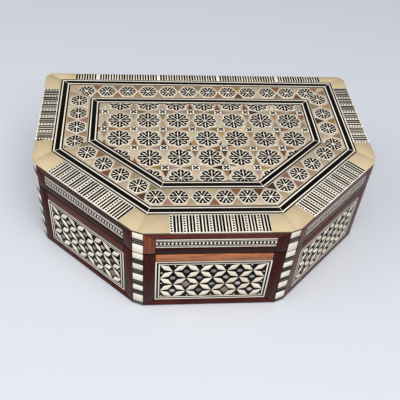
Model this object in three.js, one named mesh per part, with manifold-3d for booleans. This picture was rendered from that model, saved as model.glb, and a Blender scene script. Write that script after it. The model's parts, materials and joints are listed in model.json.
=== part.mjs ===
// A six-sided box of inlaid wood: a rectangular back half and a front that narrows by two diagonals.
// Millimetres, +Z up, the front facing -Y, the origin under the middle of the box on the table.
import * as THREE from "three";
import { mergeVertices } from "three/addons/utils/BufferGeometryUtils.js";
import Module from "manifold-3d";

const wasm = await Module();
wasm.setup();

// ---- Overall sizes ----
const backWidth = 200; // across the back
const frontWidth = 83.6; // across the short front, to the points where the sides would meet
const depth = 142; // front to back
const sideDepth = 87; // length of each parallel side, from the back
const height = 63; // table to top
const seamHeight = 46.3; // table to the middle of the seam under the lid
const seamGap = 0.3; // open seam between the case and the closed lid

// ---- Boards and skins ----
const boardThickness = 6.5; // the walls of the case and of the lid
const baseThickness = 4; // the bottom board
const lidBoardThickness = 4; // the top board of the lid
const skinThickness = 1.5; // rosewood frames, mosaic panels and bone posts on the walls
const topSkinThickness = 1.2; // marquetry on the lid
const feltThickness = 0.6; // felt under the base
const feltMargin = 1; // the felt stops short of the edge
const liningThickness = 0.9; // velvet on board
const liningDrop = 0.6; // the wall lining ends this far below the rim
const glueGap = 0.05; // between two pieces that are glued face to face
const fitGap = 0.15; // round a piece let into a window

// ---- Corners ----
const frontPostFlat = 6.3; // width of the bone post on each blunt corner
const backPostFlat = 4.8; // width of the bone post on each square back corner

// ---- The mosaic window in each rosewood frame ----
const stileWidth = 6.4; // upright of the frame, beside the post
const topRailHeight = 6.2; // from the seam to the window
const bottomRailHeight = 5.4; // from the felt's top to the window

// ---- The marquetry on the lid, from the edge inwards ----
const ladderWidth = { left: 10, left_diagonal: 13, front: 13, right_diagonal: 13, right: 10, back: 6.5 };
const outerBandWidth = 6.1;
const rosetteBorderWidth = 13.5;
const innerBandWidth = 5.9;

// ---- Hinges ----
const hingeSpacing = 120; // between the middles of the two hinges
const hingeLength = 22;
const knuckleRadius = 1.7; // the barrel lies flush with the back of the box
const middleKnuckleLength = 7;
const knuckleGap = 0.2; // end play between knuckles
const leafThickness = 0.8;
const leafReach = 5.6; // from the pin's axis to the inner edge of the leaf
const pinRadius = 0.7;
const pinClearance = 0.08;
const pinOverhang = 0.3; // each end of the pin stands out of the barrel
const turningClearance = 0.25; // round the barrel, in the wood and in the other leaf
const lidOpening = 95; // degrees
const bevelSpare = 0.6; // degrees that each bevel leaves at the open stop
const roundSides = 24; // facets of a barrel or a pin

// ---- Levels ----
const rimTop = seamHeight - seamGap / 2;
const lidBottom = seamHeight + seamGap / 2;
const baseTop = feltThickness + glueGap + baseThickness;
const topSkinBottom = height - topSkinThickness;
const lidBoardTop = topSkinBottom - glueGap;
const lidBoardBottom = lidBoardTop - lidBoardThickness;
const lidWallTop = lidBoardBottom - glueGap;

// ---- Plan of the box, anticlockwise from above, starting at the back left corner ----
const sideNames = ["left", "left_diagonal", "front", "right_diagonal", "right", "back"];
const cornerNames = ["back_left", "side_left", "front_left", "front_right", "side_right", "back_right"];
const back = depth / 2;
const shoulder = back - sideDepth; // where the parallel sides turn into the diagonals
const corners = [
  [-backWidth / 2, back],
  [-backWidth / 2, shoulder],
  [-frontWidth / 2, -back],
  [frontWidth / 2, -back],
  [backWidth / 2, shoulder],
  [backWidth / 2, back],
];
const count = corners.length;

// The line through two points, as a start and a unit direction.
function lineThrough(from, to) {
  const length = Math.hypot(to[0] - from[0], to[1] - from[1]);
  return { start: from, along: [(to[0] - from[0]) / length, (to[1] - from[1]) / length], length };
}

// The point at a distance along a line and a depth to its left, which is into the box.
function pointAt(line, distance, inwards) {
  const [dx, dy] = line.along;
  return [line.start[0] + dx * distance - dy * inwards, line.start[1] + dy * distance + dx * inwards];
}

// The closed outline made by moving each line inwards and letting neighbours meet.
function outline(lines, insets) {
  const moved = lines.map((line, i) => {
    const inset = Array.isArray(insets) ? insets[i] : insets;
    return { start: pointAt(line, 0, inset), along: line.along };
  });
  return moved.map((line, i) => {
    const before = moved[(i + lines.length - 1) % lines.length];
    const [ax, ay] = before.along;
    const [bx, by] = line.along;
    const gapX = line.start[0] - before.start[0];
    const gapY = line.start[1] - before.start[1];
    const reach = (gapX * by - gapY * bx) / (ax * by - ay * bx);
    return [before.start[0] + ax * reach, before.start[1] + ay * reach];
  });
}

const sides = corners.map((corner, i) => lineThrough(corner, corners[(i + 1) % count]));

// How far along each side a corner's flat reaches, so that the flat has its stated width.
function flatReach(corner) {
  const before = sides[(corner + count - 1) % count].along;
  const after = sides[corner].along;
  const turn = Math.acos(before[0] * after[0] + before[1] * after[1]);
  const isBack = cornerNames[corner].startsWith("back");
  const flat = isBack ? backPostFlat : frontPostFlat;
  return flat / (2 * Math.cos(turn / 2));
}

// Twelve faces in turn: the post on a corner, then the side that follows it.
const faces = sides.flatMap((side, i) => {
  const before = sides[(i + count - 1) % count];
  const reach = flatReach(i);
  const entry = pointAt(before, before.length - reach, 0);
  const exit = pointAt(side, reach, 0);
  const end = pointAt(side, side.length - flatReach((i + 1) % count), 0);
  return [lineThrough(entry, exit), lineThrough(exit, end)];
});
const outerSkin = outline(faces, 0);
const innerSkin = outline(faces, skinThickness);
const carcass = outline(faces, skinThickness + glueGap);
const wallInside = skinThickness + glueGap + boardThickness;
const room = outline(sides, wallInside);

// ---- Solids ----

// A prism over a closed plan outline.
function prism(points, bottom, top) {
  const shape = new THREE.Shape(points.map(([x, y]) => new THREE.Vector2(x, y)));
  const solid = new THREE.ExtrudeGeometry(shape, { depth: top - bottom, bevelEnabled: false });
  return solid.translate(0, 0, bottom);
}

// A flat ring between two plan outlines.
function ring(outer, inner, bottom, top) {
  const shape = new THREE.Shape(outer.map(([x, y]) => new THREE.Vector2(x, y)));
  shape.holes.push(new THREE.Path(inner.map(([x, y]) => new THREE.Vector2(x, y))));
  const solid = new THREE.ExtrudeGeometry(shape, { depth: top - bottom, bevelEnabled: false });
  return solid.translate(0, 0, bottom);
}

// A bar along X whose section is a closed outline of (y, z) points.
function bar(section, from, to) {
  const shape = new THREE.Shape(section.map(([y, z]) => new THREE.Vector2(y, z)));
  const solid = new THREE.ExtrudeGeometry(shape, { depth: to - from, bevelEnabled: false });
  const turn = new THREE.Matrix4().makeBasis(
    new THREE.Vector3(0, 1, 0),
    new THREE.Vector3(0, 0, 1),
    new THREE.Vector3(1, 0, 0),
  );
  return solid.translate(0, 0, from).applyMatrix4(turn);
}

// A round bar along X.
function roundBar(radius, from, to, y, z) {
  const section = [];
  for (let i = 0; i < roundSides; i++) {
    const angle = (2 * Math.PI * i) / roundSides;
    section.push([y + radius * Math.cos(angle), z + radius * Math.sin(angle)]);
  }
  return bar(section, from, to);
}

// A box from its lowest to its highest corner.
function block([x0, y0, z0], [x1, y1, z1]) {
  const solid = new THREE.BoxGeometry(x1 - x0, y1 - y0, z1 - z0);
  return solid.translate((x0 + x1) / 2, (y0 + y1) / 2, (z0 + z1) / 2);
}

function toManifold(geometry) {
  const bare = geometry.clone();
  bare.deleteAttribute("normal");
  bare.deleteAttribute("uv");
  const merged = mergeVertices(bare);
  const vertProperties = new Float32Array(merged.attributes.position.array);
  const triVerts = new Uint32Array(merged.index.array);
  return new wasm.Manifold(new wasm.Mesh({ numProp: 3, vertProperties, triVerts }));
}

function fromManifold(solid) {
  const mesh = solid.getMesh();
  const geometry = new THREE.BufferGeometry();
  geometry.setAttribute("position", new THREE.BufferAttribute(mesh.vertProperties, 3));
  geometry.setIndex(new THREE.BufferAttribute(mesh.triVerts, 1));
  geometry.computeVertexNormals();
  return geometry;
}

function cut(geometry, ...tools) {
  return fromManifold(tools.reduce((solid, tool) => solid.subtract(toManifold(tool)), toManifold(geometry)));
}

function join(...geometries) {
  return fromManifold(geometries.map(toManifold).reduce((all, next) => all.add(next)));
}

// ---- Materials ----
function material(color, roughness, metalness = 0) {
  return () => new THREE.MeshStandardMaterial({ color, roughness, metalness });
}
const beech = material(0xc9a274, 0.7);
const rosewood = material(0x55201b, 0.4);
const bone = material(0xe6d6b8, 0.45);
const ebony = material(0x17130f, 0.35);
const pearl = material(0xbfb8a8, 0.3);
const rosetteInlay = material(0xa08c70, 0.4);
const velvet = material(0x7a1422, 0.95);
const felt = material(0x1f3d2b, 0.95);
const brass = material(0xb9913f, 0.35, 1);

const inlaidBox = new THREE.Group();
function add(name, geometry, finish) {
  const mesh = new THREE.Mesh(geometry, finish());
  mesh.name = name;
  inlaidBox.add(mesh);
}

// ---- Hinge axis and what it cuts out of the wood ----
const axisY = back - knuckleRadius;
const axisZ = seamHeight;
const bevelAngle = THREE.MathUtils.degToRad(lidOpening / 2 + bevelSpare);
const bevelRun = 3 * (back - axisY);
const bevelRise = bevelRun * Math.tan(bevelAngle);
const beyondBack = backWidth;
const backBevel = bar(
  [
    [axisY, axisZ],
    [axisY + bevelRun, axisZ - bevelRise],
    [axisY + bevelRun, axisZ + bevelRise],
  ],
  -beyondBack,
  beyondBack,
);
const hingePlaces = { left: -hingeSpacing / 2, right: hingeSpacing / 2 };
const recessHalf = hingeLength / 2 + pinOverhang + knuckleGap;
const beyondRim = leafThickness;

// The pocket for one hinge: a round groove for the barrel and a shallow mortise for a leaf.
function hingePocket(middle, leafBottom, leafTop) {
  const groove = roundBar(knuckleRadius + turningClearance, middle - recessHalf, middle + recessHalf, axisY, axisZ);
  const mortise = block(
    [middle - recessHalf, axisY - leafReach - fitGap, leafBottom],
    [middle + recessHalf, back + skinThickness, leafTop],
  );
  return [groove, mortise];
}
const casePockets = Object.values(hingePlaces).flatMap((middle) =>
  hingePocket(middle, rimTop - leafThickness - glueGap, rimTop + beyondRim),
);
const lidPockets = Object.values(hingePlaces).flatMap((middle) =>
  hingePocket(middle, lidBottom - beyondRim, lidBottom + leafThickness + glueGap),
);

// ---- Carcass boards, mitred at the corners ----
// A board reaches from the middle of one post's seat to the middle of the next.
function boardPlan(i) {
  const seatMiddle = (corner) => {
    const from = carcass[2 * corner];
    const to = carcass[2 * corner + 1];
    return [(from[0] + to[0]) / 2, (from[1] + to[1]) / 2];
  };
  const next = (i + 1) % count;
  return [seatMiddle(i), carcass[2 * i + 1], carcass[2 * next], seatMiddle(next), room[next], room[i]];
}

sideNames.forEach((side, i) => {
  const caseBoard = prism(boardPlan(i), baseTop + glueGap, rimTop);
  const lidBoard = prism(boardPlan(i), lidBottom, lidWallTop);
  const isBack = side === "back";
  add(`case_${side}_board`, isBack ? cut(caseBoard, backBevel, ...casePockets) : caseBoard, beech);
  add(`lid_${side}_board`, isBack ? cut(lidBoard, backBevel, ...lidPockets) : lidBoard, beech);
});
add("base_board", prism(carcass, feltThickness + glueGap, baseTop), beech);
add("base_felt", prism(outline(faces, feltMargin), 0, feltThickness), felt);
add("lid_top_board", prism(carcass, lidBoardBottom, lidBoardTop), beech);

// ---- Rosewood frames, mosaic panels and lid rails ----
function facePlan(face) {
  const next = (face + 1) % faces.length;
  return [outerSkin[face], outerSkin[next], innerSkin[next], innerSkin[face]];
}
const skinBottom = feltThickness + glueGap;
const windowBottom = feltThickness + bottomRailHeight;
const windowTop = rimTop - topRailHeight;

// The part of a face between its stiles, from a depth in front of the skin to one behind it.
function windowPlan(face, gap, front, behind) {
  const line = faces[face];
  const from = stileWidth + gap;
  const to = line.length - stileWidth - gap;
  return [
    pointAt(line, from, front),
    pointAt(line, to, front),
    pointAt(line, to, behind),
    pointAt(line, from, behind),
  ];
}

sideNames.forEach((side, i) => {
  const face = 2 * i + 1;
  const isBack = side === "back";
  const backCuts = isBack ? [backBevel, ...casePockets] : [];
  const windowCut = prism(windowPlan(face, 0, -skinThickness, 2 * skinThickness), windowBottom, windowTop);
  const frame = prism(facePlan(face), skinBottom, rimTop);
  add(`case_${side}_frame`, cut(frame, windowCut, ...backCuts), rosewood);
  const panelPlan = windowPlan(face, fitGap, 0, skinThickness - glueGap);
  add(`case_${side}_mosaic`, prism(panelPlan, windowBottom + fitGap, windowTop - fitGap), pearl);
  const rail = prism(facePlan(face), lidBottom, topSkinBottom - glueGap);
  add(`lid_${side}_rail`, isBack ? cut(rail, backBevel, ...lidPockets) : rail, rosewood);
});

// ---- Bone posts on the corners ----
cornerNames.forEach((corner, i) => {
  const isBack = corner.startsWith("back");
  const casePost = prism(facePlan(2 * i), skinBottom, rimTop);
  const lidPost = prism(facePlan(2 * i), lidBottom, topSkinBottom - glueGap);
  add(`case_${corner}_post`, isBack ? cut(casePost, backBevel) : casePost, bone);
  add(`lid_${corner}_post`, isBack ? cut(lidPost, backBevel) : lidPost, bone);
});

// ---- Marquetry on the lid ----
function topOutline(fromLadder) {
  return outline(
    sides,
    sideNames.map((side) => ladderWidth[side] + fromLadder),
  );
}
const bandStart = outerBandWidth;
const borderEnd = bandStart + rosetteBorderWidth;
const innerBandEnd = borderEnd + innerBandWidth;
add("lid_ladder_border", ring(outerSkin, topOutline(0), topSkinBottom, height), bone);
add("lid_outer_band", ring(topOutline(fitGap), topOutline(bandStart), topSkinBottom, height), ebony);
add(
  "lid_rosette_border",
  ring(topOutline(bandStart + fitGap), topOutline(borderEnd), topSkinBottom, height),
  rosetteInlay,
);
add("lid_inner_band", ring(topOutline(borderEnd + fitGap), topOutline(innerBandEnd), topSkinBottom, height), ebony);
add("lid_centre_panel", prism(topOutline(innerBandEnd + fitGap), topSkinBottom, height), rosetteInlay);

// ---- Velvet ----
const liningOutside = outline(sides, wallInside + glueGap);
const liningInside = outline(sides, wallInside + glueGap + liningThickness);
const floorPadTop = baseTop + glueGap + liningThickness;
add("case_floor_pad", prism(liningOutside, baseTop + glueGap, floorPadTop), velvet);
const wallLiningBottom = floorPadTop + fitGap;
const caseWallLining = ring(liningOutside, liningInside, wallLiningBottom, rimTop - liningDrop);
add("case_wall_lining", cut(caseWallLining, ...casePockets), velvet);
const lidLiningBottom = lidBottom + liningDrop;
const lidLiningTop = lidBoardBottom - glueGap;
const lidLining = cut(
  prism(liningOutside, lidLiningBottom, lidLiningTop),
  prism(liningInside, lidLiningBottom - liningDrop, lidLiningTop - liningThickness),
  ...lidPockets,
);
add("lid_lining", lidLining, velvet);

// ---- Hinges ----
// A leaf is a plate with its own knuckles, bored for the pin, and cleared round the other leaf's knuckles.
function hingeLeaf(middle, plateBottom, plateTop, ownKnuckles, otherKnuckles) {
  const half = hingeLength / 2;
  const plate = block([middle - half, axisY - leafReach, plateBottom], [middle + half, axisY, plateTop]);
  const knuckles = ownKnuckles.map(([from, to]) =>
    roundBar(knuckleRadius, middle + from, middle + to, axisY, axisZ),
  );
  const clearances = otherKnuckles.map(([from, to]) =>
    roundBar(
      knuckleRadius + turningClearance,
      middle + from - knuckleGap,
      middle + to + knuckleGap,
      axisY,
      axisZ,
    ),
  );
  const bore = roundBar(pinRadius + pinClearance, middle - hingeLength, middle + hingeLength, axisY, axisZ);
  return cut(join(plate, ...knuckles), bore, ...clearances);
}
const middleHalf = middleKnuckleLength / 2;
const outerKnuckles = [
  [-hingeLength / 2, -middleHalf - knuckleGap],
  [middleHalf + knuckleGap, hingeLength / 2],
];
const middleKnuckle = [[-middleHalf, middleHalf]];
const outerEnds = [
  [-hingeLength, -middleHalf - knuckleGap],
  [middleHalf + knuckleGap, hingeLength],
];
for (const [name, middle] of Object.entries(hingePlaces)) {
  add(
    `${name}_hinge_case_leaf`,
    hingeLeaf(middle, rimTop - leafThickness, rimTop, outerKnuckles, middleKnuckle),
    brass,
  );
  add(
    `${name}_hinge_lid_leaf`,
    hingeLeaf(middle, lidBottom, lidBottom + leafThickness, middleKnuckle, outerEnds),
    brass,
  );
  const pinHalf = hingeLength / 2 + pinOverhang;
  add(`${name}_hinge_pin`, roundBar(pinRadius, middle - pinHalf, middle + pinHalf, axisY, axisZ), brass);
}

export default inlaidBox;
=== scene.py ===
"""The looks of a six-sided box of inlaid wood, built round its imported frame.

The marquetry is laid tile by tile: each strip, petal, star and bar is a small closed solid with its own
colour and grain, on a ground that fills what is between. Millimetres are used on the bench and turned to
metres when a piece is made.
"""
import json
import math

import bpy
import numpy as np
from mathutils import Matrix, Vector


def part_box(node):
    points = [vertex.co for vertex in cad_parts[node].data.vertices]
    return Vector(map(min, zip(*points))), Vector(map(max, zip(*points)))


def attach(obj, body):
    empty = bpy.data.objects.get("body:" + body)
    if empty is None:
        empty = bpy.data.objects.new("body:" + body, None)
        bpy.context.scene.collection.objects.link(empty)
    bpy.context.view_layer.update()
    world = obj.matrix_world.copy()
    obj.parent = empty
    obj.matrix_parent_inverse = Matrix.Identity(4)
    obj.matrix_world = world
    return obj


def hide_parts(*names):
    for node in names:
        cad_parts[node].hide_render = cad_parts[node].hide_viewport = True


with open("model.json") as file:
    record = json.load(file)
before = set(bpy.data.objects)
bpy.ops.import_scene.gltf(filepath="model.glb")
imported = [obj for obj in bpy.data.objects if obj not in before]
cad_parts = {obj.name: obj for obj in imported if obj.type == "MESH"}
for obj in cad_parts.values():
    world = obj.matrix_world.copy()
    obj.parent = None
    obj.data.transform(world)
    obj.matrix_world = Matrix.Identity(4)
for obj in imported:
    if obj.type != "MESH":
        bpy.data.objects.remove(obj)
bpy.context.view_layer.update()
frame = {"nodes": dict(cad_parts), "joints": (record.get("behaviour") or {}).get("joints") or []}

MM = 0.001  # metres in a millimetre
SIDES = ("left", "left_diagonal", "front", "right_diagonal", "right", "back")
CORNERS = ("back_left", "side_left", "front_left", "front_right", "side_right", "back_right")
NODES = frame["nodes"]


# ---- Measures taken from the frame, in millimetres ----
def corners_of(node):
    """The vertices of a node, in millimetres."""
    mesh = NODES[node].data
    places = np.empty(len(mesh.vertices) * 3)
    mesh.vertices.foreach_get("co", places)
    return places.reshape(-1, 3) / MM


def plan_edge(node):
    """The outer edge of an upright piece seen from above: its longest line, anticlockwise round the box."""
    points = np.unique(np.round(corners_of(node)[:, :2], 2), axis=0)
    distance = np.linalg.norm(points[:, None] - points[None], axis=-1)
    first, second = np.unravel_index(distance.argmax(), distance.shape)
    start, end = points[first], points[second]
    clockwise = start[0] * end[1] - start[1] * end[0] < 0
    return (end, start) if clockwise else (start, end)


def level(node, top=True):
    """The height of a node's top or bottom."""
    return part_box(node)[1 if top else 0].z / MM


def span(node):
    """The heights of a node's bottom and top."""
    return level(node, top=False), level(node)


def unit(direction):
    """Directions brought to length one."""
    return direction / np.linalg.norm(direction, axis=-1, keepdims=True)


EDGES = [plan_edge(f"case_{side}_frame") for side in SIDES]
ALONG = np.array([unit(end - start) for start, end in EDGES])
OUTWARD = np.stack([ALONG[:, 1], -ALONG[:, 0]], axis=1)
TURN = [math.atan2(y, x) for x, y in ALONG]  # each side's direction, in radians
COUNT = len(SIDES)
UPRIGHT = math.pi / 2  # grain that runs up a wall


def reach(node):
    """How far a node reaches from the middle towards each of the six sides."""
    return (corners_of(node)[:, :2] @ OUTWARD.T).max(axis=0)


def outline_at(reaches):
    """The six corners where lines at these distances along neighbouring sides' outward directions meet."""
    pairs = np.stack([np.roll(OUTWARD, 1, axis=0), OUTWARD], axis=1)
    distances = np.stack([np.roll(reaches, 1), reaches], axis=1)
    return np.linalg.solve(pairs, distances[..., None])[..., 0]


LID_TOP = level("lid_ladder_border")
EDGE_REACH = reach("lid_ladder_border")


# ---- Flat shapes: arrays of convex outlines, each anticlockwise ----
def rectangles(left, right, low, high):
    """Upright rectangles from arrays of their four limits."""
    left, right, low, high = np.broadcast_arrays(*(np.atleast_1d(np.asarray(v, float)) for v in
                                                   (left, right, low, high)))
    x = np.stack([left, right, right, left], axis=-1)
    y = np.stack([low, low, high, high], axis=-1)
    return np.stack([x, y], axis=-1)


def square(half):
    """One square about the origin, from half its side."""
    return rectangles(-half, half, -half, half)


def grid_of(first, second):
    """Every pair of a first and a second distance, as places."""
    return np.stack(np.meshgrid(first, second, indexing="ij"), axis=-1).reshape(-1, 2)


def turned(shape, angle):
    """Outlines turned about the origin by one angle or by an angle each, in radians."""
    cosine, sine = np.cos(angle), np.sin(angle)
    x, y = shape[..., 0], shape[..., 1]
    return np.stack([x * cosine - y * sine, x * sine + y * cosine], axis=-1)


def regular(sides, radius, angle=0.0):
    """One regular polygon about the origin, whose first corner lies at the angle."""
    corner = angle + 2 * np.pi * np.arange(sides) / sides
    return radius * np.stack([np.cos(corner), np.sin(corner)], axis=-1)


def fan(shape, angles):
    """One outline turned about the origin by each of the angles."""
    return turned(np.asarray(shape, float)[None], np.asarray(angles)[:, None])


def kites(angles, tip, wide, half_width, tail):
    """Kites on rays at the angles: the tip and the tail lie on the ray, the widest points beside it."""
    return fan([[tail, 0.0], [wide, -half_width], [tip, 0.0], [wide, half_width]], angles)


def repeated(shapes, places):
    """Every shape at every place, as one list of outlines."""
    return (shapes[None] + places[:, None, None, :]).reshape(-1, *shapes.shape[1:])


def shrunk(shapes, distance):
    """Convex outlines with each edge moved inwards: a corner goes where its two moved edges meet."""
    before = unit(shapes - np.roll(shapes, 1, axis=1))
    after = unit(np.roll(shapes, -1, axis=1) - shapes)
    normals = [np.stack([-d[..., 1], d[..., 0]], axis=-1) for d in (before, after)]
    spread = 1 + (normals[0] * normals[1]).sum(axis=-1, keepdims=True)
    return shapes + distance * (normals[0] + normals[1]) / np.maximum(spread, 0.12)


def area(shapes):
    """The area of each outline, by the sum of its corners' cross products."""
    after = np.roll(shapes, -1, axis=1)
    return 0.5 * (shapes[..., 0] * after[..., 1] - shapes[..., 1] * after[..., 0]).sum(axis=1)


def grouped(corners, kept, rows):
    """Outlines that keep only their marked corners, gathered by how many they have left."""
    order = np.argsort(~kept, axis=1, kind="stable")
    corners = np.take_along_axis(corners, order[..., None], axis=1)
    number = kept.sum(axis=1)
    return [(corners[number == n, :n], rows[number == n]) for n in np.unique(number[number >= 3])]


def cut_to(shapes, rows, window):
    """Cuts outlines to a convex window, one window edge at a time, and drops doubled corners."""
    groups = [(shapes, rows)]
    for start, end in zip(window, np.roll(window, -1, axis=0)):
        inward = np.array([start[1] - end[1], end[0] - start[0]])
        found = []
        for shape, row in groups:
            depth = (shape - start) @ inward
            depth_after = np.roll(depth, -1, axis=1)
            inside = depth >= 0
            crosses = inside != (depth_after >= 0)
            share = np.where(crosses, depth / np.where(crosses, depth - depth_after, 1), 0)
            hits = shape + share[..., None] * (np.roll(shape, -1, axis=1) - shape)
            corners = np.stack([shape, hits], axis=2).reshape(len(shape), -1, 2)
            kept = np.stack([inside, crosses], axis=2).reshape(len(shape), -1)
            found += grouped(corners, kept, row)
        groups = found
    clean = []
    for shape, row in groups:
        step = np.linalg.norm(np.roll(shape, -1, axis=1) - shape, axis=-1)
        clean += grouped(shape, step > 0.01, row)
    return clean


class Plane:
    """A flat place to lay work on: an origin, and directions across, up and out of it."""

    def __init__(self, origin, across, up):
        self.origin = np.asarray(origin, float)
        self.across = np.asarray(across, float)
        self.up = np.asarray(up, float)
        self.out = np.cross(self.across, self.up)

    def place(self, flat, height):
        """Points of the plane, raised out of it by the height, in metres in the box's frame."""
        lifted = self.origin + flat[..., :1] * self.across + flat[..., 1:] * self.up
        return (lifted + height[..., None] * self.out) * MM


class Marquetry:
    """Tiles laid in one plane. A tile is a prism with a small bevel round its top; some lean a little."""

    SMALLEST = 0.12  # square millimetres: a smaller offcut isn't laid
    SEAM = 0.25  # how dark a tile's edge is beside its face, where glue and dirt lie
    MOST_TILT = 0.02  # a leaning tile's corner rises or sinks at most this far
    GRAIN_SCALE = 0.1  # grain is measured in centimetres

    def __init__(self, seed):
        self.chance = np.random.default_rng(seed)
        self.window = None  # the outline that tiles are cut to, if any
        self.tiles = []
        self.finishes = []

    def lay(self, sort, shapes, tint=None, grain=0.0):
        """Lays outlines as tiles of one sort. tint is a colour, or one a tile, where the sort has none."""
        finish, own_tint, spread, top, thick, bevel, *leans = SORTS[sort]
        form = top, thick, bevel, *(leans or [0.0])
        count = len(shapes)
        if count == 0:
            return
        if finish not in self.finishes:
            self.finishes.append(finish)
        tints = np.broadcast_to(np.asarray(own_tint if tint is None else tint, float), (count, 3))
        tints = tints * (1 + spread * self.chance.uniform(-1, 1, (count, 1)))
        rows = np.column_stack([tints, np.broadcast_to(grain, count)])
        groups = [(shapes, rows)] if self.window is None else cut_to(shapes, rows, self.window)
        for shape, row in groups:
            large = area(shape) > self.SMALLEST
            if large.any():
                self.tiles.append((shape[large], row[large], self.finishes.index(finish), form))

    def solid(self, name, plane, body, replaces=()):
        """Makes one mesh of all the tiles, in the order laid."""
        places, tints, grains, loops, sizes, finish_numbers = [], [], [], [], [], []
        used = 0
        for shape, row, finish, (top, thick, bevel, lean) in self.tiles:
            count, n = shape.shape[:2]
            ring = np.arange(n)
            after = np.roll(ring, -1)
            walls = np.stack([ring, after, n + after, n + ring], axis=1)
            face_corners = np.concatenate([ring[::-1], walls.ravel(), (walls + n).ravel(), 2 * n + ring])
            face_sizes = np.array([n] + [4] * (2 * n) + [n])
            middle = shape.mean(axis=1, keepdims=True)
            slope = self.chance.uniform(-lean, lean, (count, 1, 2))
            tilt = ((shape - middle) * slope).sum(axis=-1).clip(-self.MOST_TILT, self.MOST_TILT)
            inner = shrunk(shape, bevel)
            flat = np.concatenate([shape, shape, inner], axis=1)
            height = np.concatenate([np.full_like(tilt, top - thick), top - bevel + tilt, top + tilt], axis=1)
            places.append(plane.place(flat, height).reshape(-1, 3))
            share = np.repeat([self.SEAM, self.SEAM, 1.0], n)[None, :, None]
            tints.append((row[:, None, :3] * share).reshape(-1, 3))
            along = turned(flat, -row[:, 3:4]) * self.GRAIN_SCALE
            grains.append((along + self.chance.uniform(0, 20, (count, 1, 2))).reshape(-1, 2))
            loops.append((face_corners[None] + used + 3 * n * np.arange(count)[:, None]).ravel())
            sizes.append(np.tile(face_sizes, count))
            finish_numbers.append(np.full(count * len(face_sizes), finish))
            used += 3 * n * count
        places, loops, sizes = np.concatenate(places), np.concatenate(loops), np.concatenate(sizes)
        mesh = mesh_of(name, places, loops, sizes)
        mesh.polygons.foreach_set("material_index", np.concatenate(finish_numbers).astype(np.int32))
        colour = mesh.attributes.new("tint", "FLOAT_COLOR", "POINT")
        tints = np.concatenate(tints)
        tints = np.column_stack([tints, np.ones(len(tints))])
        colour.data.foreach_set("color", tints.astype(np.float32).ravel())
        grain_map = mesh.uv_layers.new(name="grain")
        grain_map.data.foreach_set("uv", np.concatenate(grains)[loops].astype(np.float32).ravel())
        return piece(name, mesh, body, [FINISHES[finish] for finish in self.finishes], replaces)


def mesh_of(name, places, loops, sizes):
    """A mesh from vertex places, the corner numbers of all faces in a row, and each face's corner count."""
    mesh = bpy.data.meshes.new(name)
    mesh.vertices.add(len(places))
    mesh.vertices.foreach_set("co", places.astype(np.float32).ravel())
    mesh.loops.add(len(loops))
    mesh.loops.foreach_set("vertex_index", loops.astype(np.int32))
    mesh.polygons.add(len(sizes))
    mesh.polygons.foreach_set("loop_start", np.concatenate([[0], np.cumsum(sizes)[:-1]]).astype(np.int32))
    mesh.update(calc_edges=True)
    mesh.validate()
    return mesh


def piece(name, mesh, body, finishes, replaces=()):
    """An object for the mesh that rides on a body, takes a slot's finish and may stand for frame nodes."""
    made = bpy.data.objects.new(name, mesh)
    bpy.context.scene.collection.objects.link(made)
    for finish in finishes:
        mesh.materials.append(finish)
    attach(made, body)
    if replaces:
        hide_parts(*replaces)
    return made


# ---- Finishes ----
class Wire:
    """One socket's value in a finish, so that sums of values read as plain expressions."""

    def __init__(self, recipe, socket):
        self.recipe, self.socket = recipe, socket

    def sum(self, operation, first, second):
        """The outcome of one sum on two values."""
        return self.recipe.node("ShaderNodeMath", {"operation": operation}, {0: first, 1: second})

    def __add__(self, other):
        return self.sum("ADD", self, other)

    def __radd__(self, other):
        return self.sum("ADD", other, self)

    def __sub__(self, other):
        return self.sum("SUBTRACT", self, other)

    def __rsub__(self, other):
        return self.sum("SUBTRACT", other, self)

    def __mul__(self, other):
        return self.sum("MULTIPLY", self, other)

    def __rmul__(self, other):
        return self.sum("MULTIPLY", other, self)


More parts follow.
